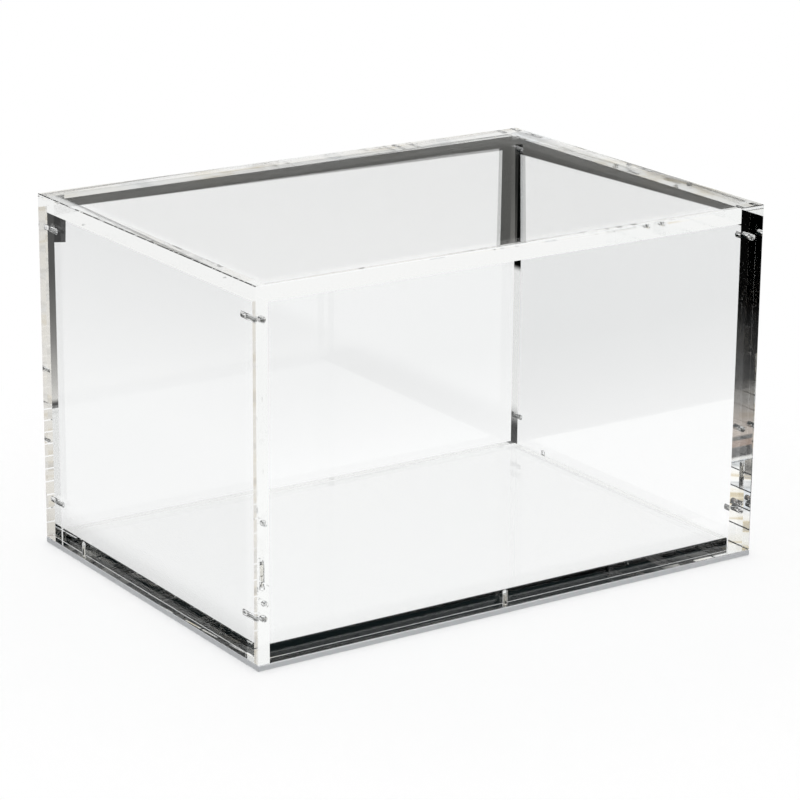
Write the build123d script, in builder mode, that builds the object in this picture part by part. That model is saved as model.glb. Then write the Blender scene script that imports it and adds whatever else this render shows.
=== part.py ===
from build123d import *
import math
import os

# Clear acrylic display box: a five-sided cover that lifts straight off a rebated base.
# All sizes are in millimetres. The origin is at the centre of the base's underside, +Z is up,
# +X runs along the long front, and the front faces -Y.

# Overall size of the closed box
box_width = 300.0
box_depth = 214.5
cover_height = 185.5

# Acrylic sheets
wall_thickness = 10.0
top_thickness = 10.0
base_thickness = 10.0
flange_thickness = 3.0
plug_clearance = 0.5
edge_break = 0.4

# Dowel pins that line up the bonded corner joints
pin_diameter = 3.0
pin_length = 12.0
pin_end_bevel = 0.4
pin_from_top = 17.0
pin_from_bottom = 22.0
pin_side_clearance = 0.05
pin_end_clearance = 0.4

# Magnets that hold the cover down: one at the front and one near the back of each side
magnet_diameter = 3.0
cover_magnet_length = 6.0
base_magnet_length = 2.0
magnet_edge_bevel = 0.2
front_magnet_x = -5.0
magnet_from_back = 38.0
magnet_side_clearance = 0.05
magnet_recess = 0.1
cover_magnet_headroom = 1.5

# The drill leaves a cone at the bottom of a blind bore
drill_point_angle = 118.0

# Places that follow from the sizes
half_width = box_width / 2
half_depth = box_depth / 2
cover_bottom = flange_thickness
cover_top = cover_bottom + cover_height
inner_width = box_width - 2 * wall_thickness
inner_depth = box_depth - 2 * wall_thickness
side_wall_x = half_width - wall_thickness / 2
long_wall_y = half_depth - wall_thickness / 2
joint_y = half_depth - wall_thickness
upper_pin_z = cover_top - pin_from_top
lower_pin_z = cover_bottom + pin_from_bottom
side_magnet_y = half_depth - magnet_from_back

pin_bore_radius = pin_diameter / 2 + pin_side_clearance
pin_bore_depth = pin_length / 2 + pin_end_clearance
magnet_bore_radius = magnet_diameter / 2 + magnet_side_clearance
cover_magnet_bore_depth = magnet_recess + cover_magnet_length + cover_magnet_headroom
base_magnet_bore_depth = magnet_recess + base_magnet_length

magnet_places = {
    "front": (front_magnet_x, -long_wall_y),
    "left": (-side_wall_x, side_magnet_y),
    "right": (side_wall_x, side_magnet_y),
}

os.makedirs("parts", exist_ok=True)


def drill(mouth, radius, depth):
    """Drill a blind bore into the part being built, from a plane that faces out of its mouth."""
    point_height = radius / math.tan(math.radians(drill_point_angle / 2))
    with Locations(mouth):
        Cylinder(radius, depth, align=(Align.CENTER, Align.CENTER, Align.MAX), mode=Mode.SUBTRACT)
    with Locations(mouth.offset(-depth)):
        Cone(0, radius, point_height, align=(Align.CENTER, Align.CENTER, Align.MAX), mode=Mode.SUBTRACT)


def save(piece, label):
    """Name a finished piece and write it to its own file."""
    piece.part.label = label
    export_step(piece.part, f"parts/{label}.step")


# Front and back panels: full width, they cover the ends of the side panels
for name, side in (("front", -1), ("back", 1)):
    with BuildPart() as long_panel:
        with BuildSketch(Plane.XY.offset(cover_bottom)):
            with Locations((0, side * long_wall_y)):
                Rectangle(box_width, wall_thickness)
        extrude(amount=cover_height)

        outer_face = long_panel.faces().sort_by(Axis.Y)[0 if side < 0 else -1]
        end_edges = long_panel.faces().filter_by(Axis.X).edges().filter_by(Axis.Y)
        chamfer(outer_face.edges() + end_edges, length=edge_break)

        for pin_x in (-side_wall_x, side_wall_x):
            for pin_z in (lower_pin_z, upper_pin_z):
                pin_mouth = Plane((pin_x, side * joint_y, pin_z), x_dir=(1, 0, 0), z_dir=(0, -side, 0))
                drill(pin_mouth, pin_bore_radius, pin_bore_depth)

        if name in magnet_places:
            magnet_mouth = Plane((*magnet_places[name], cover_bottom), x_dir=(1, 0, 0), z_dir=(0, 0, -1))
            drill(magnet_mouth, magnet_bore_radius, cover_magnet_bore_depth)
    save(long_panel, f"{name}_panel")

# Side panels: their polished ends butt against the front and back panels
for name, side in (("left", -1), ("right", 1)):
    with BuildPart() as side_panel:
        with BuildSketch(Plane.XY.offset(cover_bottom)):
            with Locations((side * side_wall_x, 0)):
                Rectangle(wall_thickness, inner_depth)
        extrude(amount=cover_height)

        outer_face = side_panel.faces().sort_by(Axis.X)[0 if side < 0 else -1]
        chamfer(outer_face.edges().filter_by(Axis.Y), length=edge_break)

        pin_x = side * side_wall_x
        for end in (-1, 1):
            for pin_z in (lower_pin_z, upper_pin_z):
                pin_mouth = Plane((pin_x, end * joint_y, pin_z), x_dir=(1, 0, 0), z_dir=(0, end, 0))
                drill(pin_mouth, pin_bore_radius, pin_bore_depth)

        magnet_mouth = Plane((*magnet_places[name], cover_bottom), x_dir=(1, 0, 0), z_dir=(0, 0, -1))
        drill(magnet_mouth, magnet_bore_radius, cover_magnet_bore_depth)
    save(side_panel, f"{name}_panel")

# Top panel: let in flush between the four walls
with BuildPart() as top_panel:
    with BuildSketch(Plane.XY.offset(cover_top)):
        Rectangle(inner_width, inner_depth)
    extrude(amount=-top_thickness)
save(top_panel, "top_panel")

# Base: one sheet with a rebate round its edge, so that its raised middle enters the cover
with BuildPart() as base_plate:
    with BuildSketch(Plane.XY):
        Rectangle(box_width, box_depth)
    extrude(amount=flange_thickness)
    chamfer(base_plate.faces().filter_by(Axis.Z).edges(), length=edge_break)

    with BuildSketch(Plane.XY.offset(flange_thickness)):
        Rectangle(inner_width - 2 * plug_clearance, inner_depth - 2 * plug_clearance)
    extrude(amount=base_thickness - flange_thickness)
    chamfer(base_plate.faces().sort_by(Axis.Z)[-1].edges(), length=edge_break)

    with BuildSketch(Plane.XY.offset(flange_thickness)):
        with Locations(*magnet_places.values()):
            Circle(magnet_bore_radius)
    extrude(amount=-base_magnet_bore_depth, mode=Mode.SUBTRACT)
save(base_plate, "base_plate")

# Dowel pins: two across each of the four upright corner joints
for corner_x, x_name in ((-1, "left"), (1, "right")):
    for corner_y, y_name in ((-1, "front"), (1, "back")):
        for pin_z, z_name in ((lower_pin_z, "lower"), (upper_pin_z, "upper")):
            pin_middle = (corner_x * side_wall_x, corner_y * joint_y, pin_z)
            with BuildPart() as dowel_pin:
                with BuildSketch(Plane(pin_middle, x_dir=(1, 0, 0), z_dir=(0, 1, 0))):
                    Circle(pin_diameter / 2)
                extrude(amount=pin_length / 2, both=True)
                chamfer(dowel_pin.faces().filter_by(Axis.Y).edges(), length=pin_end_bevel)
            save(dowel_pin, f"dowel_pin_{y_name}_{x_name}_{z_name}")

# Magnets: each one in the cover has a partner in the base's flange below it
for name, place in magnet_places.items():
    with BuildPart() as cover_magnet:
        with BuildSketch(Plane.XY.offset(cover_bottom + magnet_recess)):
            with Locations(place):
                Circle(magnet_diameter / 2)
        extrude(amount=cover_magnet_length)
        chamfer(cover_magnet.faces().filter_by(Axis.Z).edges(), length=magnet_edge_bevel)
    save(cover_magnet, f"cover_magnet_{name}")

    with BuildPart() as base_magnet:
        with BuildSketch(Plane.XY.offset(flange_thickness - magnet_recess)):
            with Locations(place):
                Circle(magnet_diameter / 2)
        extrude(amount=-base_magnet_length)
        chamfer(base_magnet.faces().filter_by(Axis.Z).edges(), length=magnet_edge_bevel)
    save(base_magnet, f"base_magnet_{name}")
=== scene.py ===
import math

import bmesh
import bpy
from mathutils import Matrix, Vector


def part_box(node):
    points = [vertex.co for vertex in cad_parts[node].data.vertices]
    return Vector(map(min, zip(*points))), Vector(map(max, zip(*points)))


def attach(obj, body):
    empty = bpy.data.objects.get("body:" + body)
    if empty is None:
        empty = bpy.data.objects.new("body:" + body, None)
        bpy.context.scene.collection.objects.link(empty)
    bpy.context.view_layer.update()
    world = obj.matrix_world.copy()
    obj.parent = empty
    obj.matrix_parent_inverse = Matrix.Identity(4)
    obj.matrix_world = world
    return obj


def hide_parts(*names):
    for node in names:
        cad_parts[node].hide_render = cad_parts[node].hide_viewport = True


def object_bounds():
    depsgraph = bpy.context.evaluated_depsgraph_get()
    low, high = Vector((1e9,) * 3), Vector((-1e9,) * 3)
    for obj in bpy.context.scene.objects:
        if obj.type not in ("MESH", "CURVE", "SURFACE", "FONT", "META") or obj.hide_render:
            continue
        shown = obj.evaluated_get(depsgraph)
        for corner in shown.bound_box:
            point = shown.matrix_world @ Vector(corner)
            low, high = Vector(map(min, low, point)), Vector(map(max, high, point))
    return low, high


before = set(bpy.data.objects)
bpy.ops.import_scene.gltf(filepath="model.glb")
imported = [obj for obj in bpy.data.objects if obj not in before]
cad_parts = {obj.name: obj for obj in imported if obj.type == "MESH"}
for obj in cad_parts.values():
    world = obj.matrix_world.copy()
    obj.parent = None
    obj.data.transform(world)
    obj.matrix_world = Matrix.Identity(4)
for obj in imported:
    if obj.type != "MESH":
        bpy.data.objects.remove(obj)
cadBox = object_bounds()
scene = bpy.context.scene
print("frame loaded:", len(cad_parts), "nodes")

# The box's own planes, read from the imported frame, in metres
halfWidth = cadBox[1].x
halfDepth = cadBox[1].y
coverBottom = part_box("front_panel")[0].z
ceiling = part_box("top_panel")[0].z
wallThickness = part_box("left_panel")[1].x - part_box("left_panel")[0].x
innerX = halfWidth - wallThickness
innerY = halfDepth - wallThickness


def fromHex(code):
    # sRGB hex to the linear colour that the nodes work in
    channels = [int(code[i:i + 2], 16) / 255 for i in (1, 3, 5)]
    linear = [c / 12.92 if c <= 0.04045 else ((c + 0.055) / 1.055) ** 2.4 for c in channels]
    return (*linear, 1.0)


def addNode(tree, kind, *values, stops=(), **settings):
    # One node. Settings are its own properties, stops fill its colour ramp, and values fill its live
    # inputs, in order or by name from a dictionary. A node given as a value stands for its first output
    node = tree.nodes.new(kind)
    for name, value in settings.items():
        setattr(node, name, value)
    if stops:
        elements = node.color_ramp.elements
        while len(elements) < len(stops):
            elements.new(0.5)
        for element, (place, code) in zip(elements, stops):
            element.position = place
            element.color = fromHex(code)
    live = [socket for socket in node.inputs if socket.enabled]
    named = values[0] if values and isinstance(values[0], dict) else None
    for key, value in (named or dict(enumerate(values))).items():
        socket = node.inputs[key] if named else live[key]
        if isinstance(value, bpy.types.Node):
            value = next(output for output in value.outputs if output.enabled)
        if isinstance(value, bpy.types.NodeSocket):
            tree.links.new(value, socket)
        else:
            socket.default_value = fromHex(value) if isinstance(value, str) else value
    return node


signs = {"<": "LESS_THAN", ">": "GREATER_THAN"}


def where(tree, *conditions):
    # A mask of where every condition holds. A condition is a mask, a mask that has to be "off", or a
    # value with a sign and one limit, or with two limits that the mask fades between
    masks = []
    for condition in conditions:
        if isinstance(condition, tuple):
            value, sign, *limits = condition
            if sign == "off":
                condition = addNode(tree, "ShaderNodeMath", 1.0, value, operation="SUBTRACT")
            elif len(limits) == 1:
                condition = addNode(tree, "ShaderNodeMath", value, *limits, operation=signs[sign])
            else:
                ends = (0.0, 1.0) if sign == ">" else (1.0, 0.0)
                condition = addNode(tree, "ShaderNodeMapRange", value, *limits, *ends,
                                    interpolation_type="SMOOTHSTEP")
        masks.append(condition)
    result = masks[0]
    for mask in masks[1:]:
        result = addNode(tree, "ShaderNodeMath", result, mask, operation="MULTIPLY")
    return result


def layered(tree, base, *layers):
    # Lays colours over a base, each by its own share
    for share, colour in layers:
        base = addNode(tree, "ShaderNodeMix", share, base, colour, data_type="RGBA")
    return base


def newMaterial(name):
    material = bpy.data.materials.new(name)
    material.use_nodes = True
    material.node_tree.nodes.clear()
    return material, material.node_tree


# Camera: the photograph's viewpoint, fitted to the body's corners
viewpoint = {
    "azimuth": -33.8405,
    "elevation": 17.2268,
    "roll": 0.48358,
    "lens": 139.906,
    "sensor": 36.0,
    "centreRight": 0.0016424,
    "centreUp": 0.0751229,
    "distance": 1.6312859,
    "clipStart": 0.01,
}


def makeCamera(v):
    azimuth, elevation, roll = (math.radians(v[k]) for k in ("azimuth", "elevation", "roll"))
    back = Vector((math.sin(azimuth) * math.cos(elevation),
                   -math.cos(azimuth) * math.cos(elevation),
                   math.sin(elevation)))
    right = Vector((math.cos(azimuth), math.sin(azimuth), 0))
    up = back.cross(right)
    tiltedRight = right * math.cos(roll) + up * math.sin(roll)
    tiltedUp = up * math.cos(roll) - right * math.sin(roll)
    place = tiltedRight * v["centreRight"] + tiltedUp * v["centreUp"] + back * v["distance"]
    place.z += coverBottom
    data = bpy.data.cameras.new("camera")
    data.sensor_width = v["sensor"]
    data.lens = v["lens"]
    data.clip_start = v["clipStart"]
    camera = bpy.data.objects.new("camera", data)
    scene.collection.objects.link(camera)
    turn = Matrix((tiltedRight, tiltedUp, back)).transposed().to_4x4()
    camera.matrix_world = Matrix.Translation(place) @ turn
    scene.camera = camera


makeCamera(viewpoint)
scene.view_settings.view_transform = "Standard"

# Light travels a long way inside thick clear sheet before it comes out of an edge
pathLimits = {
    "max_bounces": 48,
    "transmission_bounces": 48,
    "glossy_bounces": 40,
    "transparent_max_bounces": 32,
    "blur_glossy": 0.0,
}
for name, value in pathLimits.items():
    setattr(scene.cycles, name, value)
print("camera set")

# The studio: the box stands on a white sheet in a darker room, under one wide light panel. What is
# seen straight is white, and the thick edges gather the room from all sides, which draws them dark.
# Room and panel are painted reflections: only light turned by a mirroring face sees them, all other
# light sees white, and they light nothing
shades = {
    "white": "#ffffff",
    "pale": "#fbfbfa",
    "warmPale": "#e6e2da",
    "dark": "#12191a",
    "black": "#020303",
}
# Painted reflection: the share of the painted patches laid over the warm pale tone
paintedPatchShare = 0.25  # how much of the patches shows in the warm pale light

# Limits between whole counts: the faces that light has crossed, and those that turned it back inside
once = 0.5  # for any of the counts
crossings = {"inner": 2.5, "deep": 4.5}
turns = {"again": 1.5, "twice": 2.5, "some": 6.5, "many": 7.5, "bands": 9.5, "long": 13.5}

# The white sheet and the light panel, each with its half sizes, the lean of its far edges and the
# place that they lean from, and the width of its painted dark border, a band of painted shade
sheet = {
    "half": (0.603, 0.733),
    "lean": ((0.08, 0.517), (0.035, 0.254)),
    "border": 0.062,
    "paintedShadeTone": "#0c0c0b",
    "size": 6.0,
    "drop": 0.0001,
    "grainScale": 900.0,
    "grainDetail": 2.0,
    "grain": ("#fcfcfc", "#fefefe"),
    "shadowReach": (0.03, 0.22),
}
paintedReflectionPanel = {
    "half": (0.6145, 0.7575),
    "lean": ((0.08, 0.60), (0.0175, 0.40)),
    "border": 0.042,
    "height": 0.558,
    "corner": (-0.854, -1.276),
    "tone": "#e8e8e7",
}

# Painted shade on both, dark marks drawn where the box's thick rims show dark: where the border
# starts, how soft its edges are, and strips given by a centre, the direction they run in, and half
# their length and width. The last list lies on the panel only
paintedShadeMarks = {
    "borderFrom": (0.17, 0.45),
    "borderSoft": 0.003,
    "paintedStrips": [
        ((0.5145, 0.6130), (0.585, 0.811), 0.186, 0.0107),
        ((0.186, 0.727), (0.468, 0.884), 0.06, 0.0058),
    ],
    "panelStrips": [((0.5190, 0.6098), (0.585, 0.811), 0.186, 0.0030)],
}

# The room round the sheet, a painted reflection that only turned light sees, by the height and the
# slant of the direction that light comes from
paintedRoomReflection = {
    "horizon": "#3c3d3c",
    "wall": "#7c7c79",
    "wallFrom": (0.0, 0.12),
    "lowest": 0.001,
    "paintedBars": (9.0, 9.0, 190.0),
    "barsFrom": (0.80, 0.84),
    "longTo": (0.70, 0.76),
    "levelTo": 0.36,
    "highFrom": (0.55, 0.62),
}

# Painted reflections: what the floor looks like to light that the box's faces turn, at growing
# distances from the box, as a share of the reach. The black near the box in these lists is painted
# shade
paintedReflectionReach = 0.40
paintedReflectionTones = {
    "mirroredFront": [(0.065, "#000000"), (0.085, "#ffffff"), (0.55, "#ffffff"), (0.735, "#b2b2b2"),
                      (0.918, "#4f4f4f"), (0.963, "#000000")],
    "mirroredSide": [(0.045, "#000000"), (0.075, "#e7e7e7"), (0.40, "#e1e1e1"), (0.75, "#b2b2b2"),
                     (0.90, "#959595")],
    "innerFront": [(0.0, "#edeae6"), (0.012, "#101010"), (0.065, "#101010"), (0.085, "#e0deda"),
                   (0.18, "#bcbab6"), (0.365, "#7f7d7a"), (0.51, "#61605c"), (0.75, "#3f3f3d")],
    "guided": [(0.030, "#f0efec"), (0.033, "#4a4a4a"), (0.067, "#4a4a4a"), (0.070, "#9a8578"),
               (0.090, "#9a8578"), (0.093, "#474747"), (0.104, "#474747"), (0.110, "#b7aaa0"),
               (0.236, "#6b6762"), (0.325, "#1c1c1c"), (0.40, "#000000")],
}

# Where parts of the painted floor reflections begin and end, in metres from the box or from its middle
paintedReflectionParts = {
    "under": 0.0005,
    "near": (0.0025, 0.005),
    "rightFrom": (0.03, 0.06),
    "rightTo": (0.240, 0.252),
    "rightFront": -0.27,
    "wallMargin": 0.01,
    "backLean": 0.9,
}

# Uneven patches of painted light and reflection, as thick edges gather them from a room, used for
# the floor and for the room's bars
paintedPatches = {
    "floorScale": 19.0,
    "detail": 2.0,
    "roughness": 0.5,
    "distortion": 0.4,
    "tones": [(0.27, "#4a4845"), (0.34, "#b8b3aa"), (0.39, "#dccdab"), (0.43, "#fffcf4"),
              (0.56, "#ffffff"), (0.60, "#c3c6c7"), (0.65, "#f3f8ff"), (0.76, "#9aa0a4")],
}


def lightKinds(tree):
    # Sorts light by its way: straight through the sheet, turned once by a face, or guided along inside
    path = addNode(tree, "ShaderNodeLightPath").outputs
    crossed, turned = path["Transmission Depth"], path["Glossy Depth"]
    joints = path["Transparent Depth"]
    steady = where(tree, (path["Diffuse Depth"], "<", once))
    kinds = {
        "camera": path["Is Camera Ray"],
        "turned": where(tree, steady, (turned, ">", once)),
        "inner": where(tree, (crossed, ">", crossings["inner"])),
        "deep": where(tree, (crossed, ">", crossings["deep"])),
        "again": where(tree, (turned, ">", turns["again"])),
        "some": where(tree, (turned, ">", turns["some"])),
        "longest": where(tree, (turned, ">", turns["long"])),
    }
    kinds["straight"] = where(tree, steady, (crossed, ">", once), (kinds["turned"], "off"))
    kinds["long"] = where(tree, kinds["longest"], (kinds["inner"], "off"))
    kinds["many"] = where(tree, (turned, ">", turns["many"]), (kinds["deep"], "off"))
    kinds["bands"] = where(tree, kinds["deep"], (turned, "<", turns["bands"]))
    kinds["bonded"] = where(tree, (kinds["bands"], "off"), (joints, ">", once))
    twice = where(tree, kinds["again"], (turned, "<", turns["twice"]), kinds["inner"])
    kinds["guided"] = where(tree, kinds["again"], (twice, "off"))
    return kinds


def paintedPatchColour(tree, place, scale):
    noise = addNode(tree, "ShaderNodeTexNoise", {
        "Vector": place,
        "Scale": scale,
        "Detail": paintedPatches["detail"],
        "Roughness": paintedPatches["roughness"],
        "Distortion": paintedPatches["distortion"],
    })
    return addNode(tree, "ShaderNodeValToRGB", noise, stops=paintedPatches["tones"])


def anyStrip(tree, x, y, paintedStrips):
    found = 0.0
    for centre, along, halfLength, halfAcross in paintedStrips:
        offsets = [addNode(tree, "ShaderNodeMath", side, middle, operation="SUBTRACT")
                   for side, middle in zip((x, y), centre)]
        inside = []
        for direction, half in ((along, halfLength), ((along[1], -along[0]), halfAcross)):
            shares = [addNode(tree, "ShaderNodeMath", offset, part, operation="MULTIPLY")
                      for offset, part in zip(offsets, direction)]
            total = addNode(tree, "ShaderNodeMath", *shares, operation="ADD")
            distance = addNode(tree, "ShaderNodeMath", total, operation="ABSOLUTE")
            inside.append((distance, "<", half))
        found = addNode(tree, "ShaderNodeMath", found, where(tree, *inside), operation="MAXIMUM")
    return found


def paintedShadeMask(tree, x, y, plate):
    # Painted shade: the plate's dark border at its far corner, whose edges lean a little, and the dark
    # strips on it
    edges = []
    for side, other, half, (lean, start) in zip((x, y), (y, x), plate["half"], plate["lean"]):
        shifted = addNode(tree, "ShaderNodeMath", other, start, operation="SUBTRACT")
        leaning = addNode(tree, "ShaderNodeMath", shifted, lean, side, operation="MULTIPLY_ADD")
        edges.append(addNode(tree, "ShaderNodeMath", leaning, half, operation="SUBTRACT"))
    edge = addNode(tree, "ShaderNodeMath", *edges, operation="MAXIMUM")
    width, soft = plate["border"], paintedShadeMarks["borderSoft"]
    atCorner = [(side, ">", start) for side, start in zip((x, y), paintedShadeMarks["borderFrom"])]
    border = where(tree, (edge, ">", 0.0, soft), (edge, "<", width, width + soft), *atCorner)
    paintedStrips = anyStrip(tree, x, y, paintedShadeMarks["paintedStrips"])
    return addNode(tree, "ShaderNodeMath", border, paintedStrips, operation="MAXIMUM")


def makeWorld():
    world = bpy.data.worlds.new("studioPaintedReflections")
    scene.world = world
    world.use_nodes = True
    tree = world.node_tree
    tree.nodes.clear()
    kinds = lightKinds(tree)
    direction = addNode(tree, "ShaderNodeTexCoord").outputs["Generated"]
    x, y, z = addNode(tree, "ShaderNodeSeparateXYZ", direction).outputs
    # Painted reflection: faces and metal mirror a grey room under one wide light panel, which has a
    # painted dark border like the sheet
    height = addNode(tree, "ShaderNodeMath", z, paintedRoomReflection["lowest"], operation="MAXIMUM")
    overhead = []
    for side, corner in zip((x, y), paintedReflectionPanel["corner"]):
        tilt = addNode(tree, "ShaderNodeMath", side, height, operation="DIVIDE")
        overhead.append(addNode(tree, "ShaderNodeMath", tilt, paintedReflectionPanel["height"], corner,
                                operation="MULTIPLY_ADD"))
    walls = layered(tree, paintedRoomReflection["horizon"], (where(tree, (z, ">", *paintedRoomReflection["wallFrom"])), paintedRoomReflection["wall"]))
    paintedReflection = layered(tree, paintedReflectionPanel["tone"],
                       (paintedShadeMask(tree, *overhead, paintedReflectionPanel), walls),
                       (anyStrip(tree, *overhead, paintedShadeMarks["panelStrips"]), shades["black"]))
    # Painted shade and reflection: light guided along inside the sheet meets the room's dark side. Low
    # and towards either end it is broken into painted bars, and after the longest ways it is pale again
    squeezed = addNode(tree, "ShaderNodeVectorMath", direction, paintedRoomReflection["paintedBars"], operation="MULTIPLY")
    paintedBars = paintedPatchColour(tree, squeezed, 1.0)
    absolutes = [addNode(tree, "ShaderNodeMath", side, operation="ABSOLUTE") for side in (x, y)]
    slant = addNode(tree, "ShaderNodeMath", *absolutes, operation="DIVIDE")
    level = where(tree, (z, "<", paintedRoomReflection["levelTo"]))
    barred = where(tree, kinds["some"], level, (slant, ">", *paintedRoomReflection["barsFrom"]))
    along = where(tree, kinds["longest"], level, (slant, "<", *paintedRoomReflection["longTo"]))
    farWay = addNode(tree, "ShaderNodeMath", kinds["long"], along, operation="MAXIMUM")
    high = where(tree, (kinds["deep"], "off"), (z, ">", *paintedRoomReflection["highFrom"]))
    guided = layered(tree, shades["dark"],
                     (barred, paintedBars),
                     (farWay, layered(tree, shades["warmPale"], (paintedPatchShare, paintedBars))),
                     (kinds["bonded"], shades["pale"]),
                     (high, shades["white"]))
    turned = layered(tree, paintedReflection, (kinds["guided"], guided))
    colour = layered(tree, shades["white"], (kinds["turned"], turned))
    light = addNode(tree, "ShaderNodeBackground", colour, 1.0)
    addNode(tree, "ShaderNodeOutputWorld", light)


def paintedReflectionTone(tree, distance, name):
    share = addNode(tree, "ShaderNodeMath", distance, paintedReflectionReach, operation="DIVIDE")
    return addNode(tree, "ShaderNodeValToRGB", share, stops=paintedReflectionTones[name])


def paintedFloorReflections(tree, place, kinds):
    # Painted reflections: the floor as the faces mirror it and as the edges gather it, in tones that
    # only turned light sees
    x, y, _ = addNode(tree, "ShaderNodeSeparateXYZ", place).outputs
    outside = []
    for side, half in ((x, halfWidth), (y, halfDepth)):
        size = addNode(tree, "ShaderNodeMath", side, operation="ABSOLUTE")
        past = addNode(tree, "ShaderNodeMath", size, half, operation="SUBTRACT")
        outside.append(addNode(tree, "ShaderNodeMath", past, 0.0, operation="MAXIMUM"))
    outX, outY = outside
    out = addNode(tree, "ShaderNodeMath", outX, outY, operation="MAXIMUM")
    under = where(tree, (out, "<", paintedReflectionParts["under"]))
    near = where(tree, (out, "<", *paintedReflectionParts["near"]))
    front = where(tree, (y, "<", -halfDepth))
    back = where(tree, (y, ">", halfDepth))
    # Turned back once by a face
    sideways = addNode(tree, "ShaderNodeMix", where(tree, (outX, ">", 0.0)), outY, outX)
    paintedReflection = layered(tree, paintedReflectionTone(tree, sideways, "mirroredSide"),
                       (front, paintedReflectionTone(tree, outY, "mirroredFront")),
                       (under, shades["pale"]))
    # Turned once by an end face, and seen out of the front or out of the right side
    atRight = where(tree, (x, ">", halfWidth), (outX, ">", *paintedReflectionParts["rightFrom"]),
                    (y, ">", paintedReflectionParts["rightFront"]))
    pastRight = where(tree, (outX, ">", *paintedReflectionParts["rightTo"]))
    right = layered(tree, shades["pale"], (pastRight, shades["black"]))
    inner = layered(tree, shades["black"],
                    (front, paintedReflectionTone(tree, outY, "innerFront")),
                    (atRight, right),
                    (under, shades["pale"]))
    # Guided inside the sheet: painted light, pale under the front and the left walls, patchy under the
    # other two
    spots = paintedPatchColour(tree, place, paintedPatches["floorScale"])
    farX, farY = innerX - paintedReflectionParts["wallMargin"], innerY - paintedReflectionParts["wallMargin"]
    atRightWall, atBackWall = where(tree, (x, ">", farX)), where(tree, (y, ">", farY))
    farSides = addNode(tree, "ShaderNodeMath", atRightWall, atBackWall, operation="MAXIMUM")
    leaning = addNode(tree, "ShaderNodeMath", outY, paintedReflectionParts["backLean"], x, operation="MULTIPLY_ADD")
    behind = where(tree, back, kinds["some"], (leaning, ">", farX))
    returned = where(tree, back, kinds["some"])
    underWalls = layered(tree, shades["pale"], (farSides, spots))
    joined = layered(tree, shades["pale"], (where(tree, near, farSides), spots))
    guided = layered(tree, shades["black"],
                     (behind, paintedReflectionTone(tree, outY, "guided")),
                     (where(tree, near, kinds["many"]), underWalls),
                     (kinds["long"], layered(tree, shades["warmPale"], (paintedPatchShare, spots))),
                     (kinds["bonded"], joined),
                     (where(tree, kinds["bands"], (returned, "off")), shades["dark"]))
    return layered(tree, paintedReflection, (kinds["inner"], inner), (kinds["again"], guided))


def makeFloor():
    mesh = bpy.data.meshes.new("floor")
    half, height = sheet["size"] / 2, -sheet["drop"]
    corners = [(x * half, y * half, height) for x, y in ((-1, -1), (1, -1), (1, 1), (-1, 1))]
    mesh.from_pydata(corners, [], [(0, 1, 2, 3)])
    floor = bpy.data.objects.new("floor", mesh)
    scene.collection.objects.link(floor)
    # Plain and soft, with a grain of about 1 mm that is almost too faint to see
    material, tree = newMaterial("whitePaperPaintedReflections")
    kinds = lightKinds(tree)
    place = addNode(tree, "ShaderNodeTexCoord").outputs["Object"]
    x, y, _ = addNode(tree, "ShaderNodeSeparateXYZ", place).outputs
    grain = addNode(tree, "ShaderNodeTexNoise", {
        "Vector": place, "Scale": sheet["grainScale"], "Detail": sheet["grainDetail"],
    })
    plain, brighter = sheet["grain"]
    lit = addNode(tree, "ShaderNodeBsdfDiffuse", layered(tree, plain, (grain, brighter)))
    # Painted shade: the dark border and strips show only to light that came straight through the box
    paintedShade = where(tree, kinds["straight"], paintedShadeMask(tree, x, y, sheet))
    shown = layered(tree, shades["white"],
                    (paintedShade, sheet["paintedShadeTone"]),
                    (kinds["turned"], paintedFloorReflections(tree, place, kinds)))
    paintedGlow = addNode(tree, "ShaderNodeEmission", shown, 1.0)
    # Beyond the object's shadow the sheet is plain white
    away = addNode(tree, "ShaderNodeVectorMath", place, operation="LENGTH")
    fade = [halfWidth + reach for reach in sheet["shadowReach"]]
    beyond = where(tree, kinds["camera"], (away, ">", *fade))
    # Light that the box turned or passed straight on sees the glowing floor with its painted tones
    through = addNode(tree, "ShaderNodeMath", kinds["turned"], kinds["straight"], operation="MAXIMUM")
    share = addNode(tree, "ShaderNodeMath", beyond, through, operation="MAXIMUM")
    mix = addNode(tree, "ShaderNodeMixShader", share, lit, paintedGlow)
    addNode(tree, "ShaderNodeOutputMaterial", mix)
    mesh.materials.append(material)


makeWorld()
makeFloor()
print("studio set")

# Acrylic: cast sheet with polished faces and edges, drilled bores and a routed rebate. The casting's
# own waves are about 110 mm long. Drill scratches, 0.5 mm apart, and cutter passes, 0.4 mm apart, are
# drawn coarser than the tools leave them, because they wouldn't show otherwise
acrylic = {
    "ior": 1.49,
    "clear": ("#fdfefe", "#ffffff"),
    "waveScale": 9.0,
    "waveDetail": 1.0,
    "waveHeight": 0.000005,
    "toolHeight": 0.00002,
    "boreRoughness": 0.12,
    "borePitch": 0.0005,
    "boreDetail": 2.0,
    "routedRoughness": 0.45,
    "routedTransmission": 0.5,
    "routedTones": ("#dfe2e6", "#f2f4f6"),
    "routedInsidePaintedShade": "#15191a",
    "routedStretch": (60.0, 60.0, 2600.0),
    "routedDetail": 3.0,
}


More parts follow.
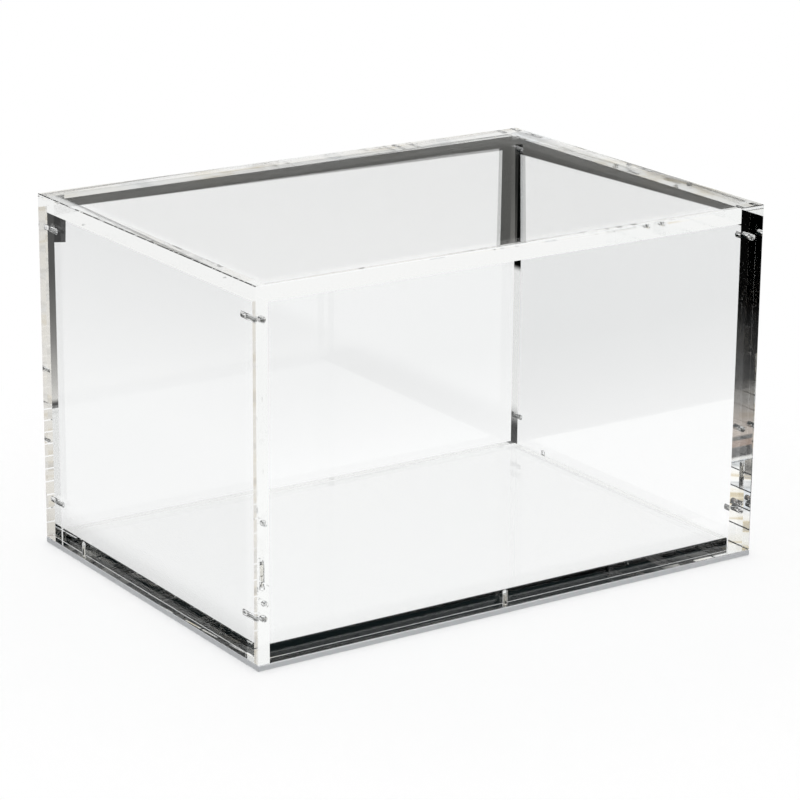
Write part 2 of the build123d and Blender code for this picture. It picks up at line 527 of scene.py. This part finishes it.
def acrylicMaterial(name, roughness, relief=None, transmission=1.0, tones=None):
    # Clear all through, with the faint tint and the slow waves of cast sheet
    material, tree = newMaterial(name)
    place = addNode(tree, "ShaderNodeTexCoord").outputs["Object"]
    slow = addNode(tree, "ShaderNodeTexNoise", {
        "Vector": place, "Scale": acrylic["waveScale"], "Detail": acrylic["waveDetail"],
    })
    bump = addNode(tree, "ShaderNodeBump", {
        "Strength": 1.0,
        "Distance": acrylic["toolHeight"] if relief else acrylic["waveHeight"],
        "Height": relief(tree, place) if relief else slow,
    })
    plain, brighter = tones or acrylic["clear"]
    tint = layered(tree, plain, (slow, brighter))
    if tones:
        # Painted shade: seen from inside the sheet, the frosted edge's colour is darkened
        inside = addNode(tree, "ShaderNodeNewGeometry").outputs["Backfacing"]
        tint = layered(tree, tint, (inside, acrylic["routedInsidePaintedShade"]))
    shader = addNode(tree, "ShaderNodeBsdfPrincipled", {
        "Base Color": tint,
        "Transmission Weight": transmission,
        "IOR": acrylic["ior"],
        "Roughness": roughness,
        "Normal": bump,
    })
    addNode(tree, "ShaderNodeOutputMaterial", shader)
    return material


def drillRings(tree, place):
    # Fine scratches that the drill leaves round the wall of a bore
    return addNode(tree, "ShaderNodeTexNoise", {
        "Vector": place, "Scale": 1 / acrylic["borePitch"], "Detail": acrylic["boreDetail"],
    })


def routerLines(tree, place):
    # The cutter's passes run along the flange's edge, so the noise is squeezed in height only
    squeezed = addNode(tree, "ShaderNodeVectorMath", place, acrylic["routedStretch"],
                       operation="MULTIPLY")
    return addNode(tree, "ShaderNodeTexNoise", {
        "Vector": squeezed, "Scale": 1.0, "Detail": acrylic["routedDetail"],
    })


def bondedMaterial():
    # A joint that solvent has closed: light passes it as if it weren't there
    material, tree = newMaterial("solventBondedJoint")
    clear = addNode(tree, "ShaderNodeBsdfTransparent", shades["white"])
    addNode(tree, "ShaderNodeOutputMaterial", clear)
    return material


# Polished faces and edges show crisp lines with a slight wobble, bores glint, and the flange's edge
# is frosted by the cutter, with painted shade on its inner side
polished = acrylicMaterial("polishedCastAcrylic", 0.0)
drilled = acrylicMaterial("drilledAcrylic", acrylic["boreRoughness"], drillRings)
routed = acrylicMaterial("routedAcrylicEdgePaintedShade", acrylic["routedRoughness"], routerLines,
                         acrylic["routedTransmission"], acrylic["routedTones"])
bonded = bondedMaterial()
panelFinishes = [polished, bonded, drilled, routed]
polishedSlot, bondedSlot, drilledSlot, routedSlot = range(len(panelFinishes))

# Ground steel catches light in rings across the pin, drawn 0.3 mm apart and so coarser than a
# grinding wheel leaves them, because they wouldn't show otherwise
pinSteel = {
    "tones": ("#c9cacb", "#ececea"),
    "roughness": (0.08, 0.22),
    "stretch": (400.0, 3000.0, 400.0),
}
# Nickel plate is smoother and warmer, with a faint cloudiness in spots of about 1.4 mm
magnetNickel = {
    "tones": ("#d9d6ce", "#f1efe9"),
    "roughness": (0.06, 0.16),
    "stretch": (700.0, 700.0, 700.0),
}
metalGrain = {"detail": 3.0, "between": (0.3, 0.7)}


def metalMaterial(name, metal):
    # Polish that wanders between two tones and two roughnesses along the grinding direction
    material, tree = newMaterial(name)
    place = addNode(tree, "ShaderNodeTexCoord").outputs["Object"]
    squeezed = addNode(tree, "ShaderNodeVectorMath", place, metal["stretch"], operation="MULTIPLY")
    noise = addNode(tree, "ShaderNodeTexNoise", {
        "Vector": squeezed, "Scale": 1.0, "Detail": metalGrain["detail"],
    })
    dark, light = metal["tones"]
    limits = (*metalGrain["between"], *metal["roughness"])
    polish = addNode(tree, "ShaderNodeMapRange", noise, *limits, interpolation_type="SMOOTHSTEP")
    shader = addNode(tree, "ShaderNodeBsdfPrincipled", {
        "Base Color": layered(tree, dark, (noise, light)),
        "Metallic": 1.0,
        "Roughness": polish,
    })
    addNode(tree, "ShaderNodeOutputMaterial", shader)
    return material


groundSteel = metalMaterial("groundStainlessSteel", pinSteel)
nickelPlate = metalMaterial("brightNickelPlate", magnetNickel)
print("materials made")

# Panels, in metres: the film of air in a dry joint, how near a face counts as on it, the width of the
# polished bevels, and how close points are merged and cut
seam = {
    "airFilm": 0.00002,
    "near": 0.00001,
    "bevel": 0.0005,
    "merge": 1e-6,
    "cut": 1e-7,
}


def copyOfNode(nodeName):
    work = bmesh.new()
    work.from_mesh(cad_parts[nodeName].data)
    bmesh.ops.remove_doubles(work, verts=work.verts[:], dist=seam["merge"])
    return work


def cutAt(work, place, normal):
    parts = work.verts[:] + work.edges[:] + work.faces[:]
    bmesh.ops.bisect_plane(work, geom=parts, dist=seam["cut"], plane_co=place, plane_no=normal)


def onOutside(box, centre):
    # True on one of the panel's six faces or on the small bevels between them
    low, high = box
    gaps = sorted(min(centre[i] - low[i], high[i] - centre[i]) for i in range(3))
    return gaps[0] < seam["near"] or gaps[1] < seam["bevel"]


def panelFinish(nodeName, box, centre):
    near, bevel = seam["near"], seam["bevel"]
    if nodeName == "base_plate":
        atEdge = abs(centre.x) > halfWidth - bevel or abs(centre.y) > halfDepth - bevel
        if centre.z < coverBottom and atEdge:
            return routedSlot
        return drilledSlot if near < centre.z < coverBottom - near else polishedSlot
    if not onOutside(box, centre):
        return drilledSlot
    if nodeName == "top_panel":
        onRim = abs(centre.x) > innerX - near or abs(centre.y) > innerY - near
        return bondedSlot if onRim else polishedSlot
    atFrontLeft = abs(centre.y + innerY) < near and centre.x < -innerX
    beside = abs(centre.x) < innerX + near and abs(centre.y) < innerY + near and centre.z > ceiling
    onInside = abs(abs(centre.x) - innerX) < near or abs(abs(centre.y) - innerY) < near
    return bondedSlot if atFrontLeft or (beside and onInside) else polishedSlot


def makePanel(nodeName, pieceName, body):
    work = copyOfNode(nodeName)
    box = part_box(nodeName)
    if body == "cover" and nodeName != "top_panel":
        # Faces end where the joints do, so that a joint can have its own finish
        cutAt(work, (0, 0, ceiling), (0, 0, 1))
        if nodeName in ("front_panel", "back_panel"):
            cutAt(work, (innerX, 0, 0), (1, 0, 0))
            cutAt(work, (-innerX, 0, 0), (1, 0, 0))
    for face in work.faces:
        face.material_index = panelFinish(nodeName, box, face.calc_center_median())
    for vert in work.verts:
        place = vert.co
        # A film of air stays under the cover and in three of its upright joints
        if body == "cover" and abs(place.z - coverBottom) < seam["near"]:
            place.z += seam["airFilm"]
        atEnd = abs(abs(place.y) - innerY) < seam["near"]
        if atEnd and (nodeName == "right_panel" or (nodeName == "left_panel" and place.y > 0)):
            place.y -= math.copysign(seam["airFilm"], place.y)
    mesh = bpy.data.meshes.new(pieceName)
    for finish in panelFinishes:
        mesh.materials.append(finish)
    work.to_mesh(mesh)
    work.free()
    piece = bpy.data.objects.new(pieceName, mesh)
    scene.collection.objects.link(piece)
    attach(piece, body)
    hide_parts(nodeName)


for nodeName, pieceName, body in (
    ("front_panel", "frontPanel", "cover"),
    ("back_panel", "backPanel", "cover"),
    ("left_panel", "leftPanel", "cover"),
    ("right_panel", "rightPanel", "cover"),
    ("top_panel", "topPanel", "cover"),
    ("base_plate", "basePlate", "base"),
):
    makePanel(nodeName, pieceName, body)
print("panels made")

# Dowel pins: one fluted pin, set at the eight places where the CAD has them
dowelPin = {
    "Flute Count": 8.0,
    "Flute Depth": 0.00014,
    "Bevel": 0.0004,
}
pinFacets = {"round": 96, "along": 24}
fluteShape = {"sharpness": 2.0, "stopsAt": 2.0}  # the power of the wave, and its stop in bevels


def pinPlaces():
    # Sizes and spans that the CAD nodes give: radius, length and the block whose corners hold the pins
    names = [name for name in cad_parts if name.startswith("dowel_pin")]
    lows, highs = zip(*(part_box(name) for name in names))
    middles = [(low + high) / 2 for low, high in zip(lows, highs)]
    spans = [max(m[i] for m in middles) - min(m[i] for m in middles) for i in range(3)]
    height = sum(m.z for m in middles) / len(middles)
    size = highs[0] - lows[0]
    return names, size.z / 2, size.y, spans, height


def pinTree(radius, length, spans, height):
    tree = bpy.data.node_groups.new("flutedPins", "GeometryNodeTree")
    sizes = {"Radius": radius, "Length": length, **dowelPin}
    for name, value in sizes.items():
        socket = tree.interface.new_socket(name, in_out="INPUT", socket_type="NodeSocketFloat")
        socket.default_value = value
    tree.interface.new_socket("Geometry", in_out="OUTPUT", socket_type="NodeSocketGeometry")
    given = addNode(tree, "NodeGroupInput").outputs
    pin = addNode(tree, "GeometryNodeMeshCylinder", {
        "Vertices": pinFacets["round"], "Side Segments": pinFacets["along"],
        "Radius": given["Radius"], "Depth": given["Length"],
    })
    place = addNode(tree, "GeometryNodeInputPosition")
    x, y, z = addNode(tree, "ShaderNodeSeparateXYZ", place).outputs
    # Grooves follow a wave round the pin and stop short of its bevelled ends
    angle = addNode(tree, "ShaderNodeMath", y, x, operation="ARCTAN2")
    turned = addNode(tree, "ShaderNodeMath", angle, given["Flute Count"], operation="MULTIPLY")
    wave = addNode(tree, "ShaderNodeMath", turned, operation="COSINE")
    crest = addNode(tree, "ShaderNodeMath", wave, 0.0, operation="MAXIMUM")
    groove = addNode(tree, "ShaderNodeMath", crest, fluteShape["sharpness"], operation="POWER")
    depth = addNode(tree, "ShaderNodeMath", groove, given["Flute Depth"], operation="MULTIPLY")
    share = addNode(tree, "ShaderNodeMath", depth, given["Radius"], operation="DIVIDE")
    half = addNode(tree, "ShaderNodeMath", given["Length"], 0.5, operation="MULTIPLY")
    along = addNode(tree, "ShaderNodeMath", z, operation="ABSOLUTE")
    toEnd = addNode(tree, "ShaderNodeMath", half, along, operation="SUBTRACT")
    stop = addNode(tree, "ShaderNodeMath", given["Bevel"], fluteShape["stopsAt"], operation="MULTIPLY")
    fluted = where(tree, share, (toEnd, ">", stop))
    # The end rings draw in by the bevel
    halfBevel = addNode(tree, "ShaderNodeMath", given["Bevel"], 0.5, operation="MULTIPLY")
    drawnIn = addNode(tree, "ShaderNodeMath", given["Bevel"], given["Radius"], operation="DIVIDE")
    bevelled = where(tree, (toEnd, "<", halfBevel), drawnIn)
    shrink = addNode(tree, "ShaderNodeMath", fluted, bevelled, operation="ADD")
    keep = addNode(tree, "ShaderNodeMath", 1.0, shrink, operation="SUBTRACT")
    scale = addNode(tree, "ShaderNodeCombineXYZ", keep, keep, 1.0)
    shape = addNode(tree, "GeometryNodeSetPosition", {
        "Geometry": pin.outputs["Mesh"],
        "Position": addNode(tree, "ShaderNodeVectorMath", place, scale, operation="MULTIPLY"),
    })
    smooth = addNode(tree, "GeometryNodeSetShadeSmooth", {
        "Geometry": shape, "Selection": pin.outputs["Side"], "Shade Smooth": True,
    })
    lying = addNode(tree, "GeometryNodeTransform", {
        "Geometry": smooth, "Rotation": (math.pi / 2, 0, 0),
    })
    block = addNode(tree, "GeometryNodeMeshCube", spans, 2, 2, 2)
    raised = addNode(tree, "GeometryNodeTransform", {"Geometry": block, "Translation": (0, 0, height)})
    placed = addNode(tree, "GeometryNodeInstanceOnPoints", {"Points": raised, "Instance": lying})
    real = addNode(tree, "GeometryNodeRealizeInstances", placed)
    finished = addNode(tree, "GeometryNodeSetMaterial", {"Geometry": real, "Material": groundSteel})
    addNode(tree, "NodeGroupOutput", {"Geometry": finished})
    return tree, sizes


def makePins():
    names, radius, length, spans, height = pinPlaces()
    tree, sizes = pinTree(radius, length, spans, height)
    seed = bpy.data.objects.new("pinSeed", bpy.data.meshes.new("pinSeed"))
    scene.collection.objects.link(seed)
    modifier = seed.modifiers.new("flutedPins", "NODES")
    modifier.node_group = tree
    for item in tree.interface.items_tree:
        if item.in_out == "INPUT":
            modifier[item.identifier] = sizes[item.name]
    mesh = bpy.data.meshes.new_from_object(seed.evaluated_get(bpy.context.evaluated_depsgraph_get()))
    bpy.data.objects.remove(seed)
    mesh.name = "dowelPins"
    pins = bpy.data.objects.new("dowelPins", mesh)
    scene.collection.objects.link(pins)
    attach(pins, "cover")
    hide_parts(*names)
    return len(names)


print("pins made:", makePins())

# Magnets keep their CAD solids
for nodeName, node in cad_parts.items():
    if "magnet" in nodeName:
        node.data.materials.clear()
        node.data.materials.append(nickelPlate)
print("magnets finished")
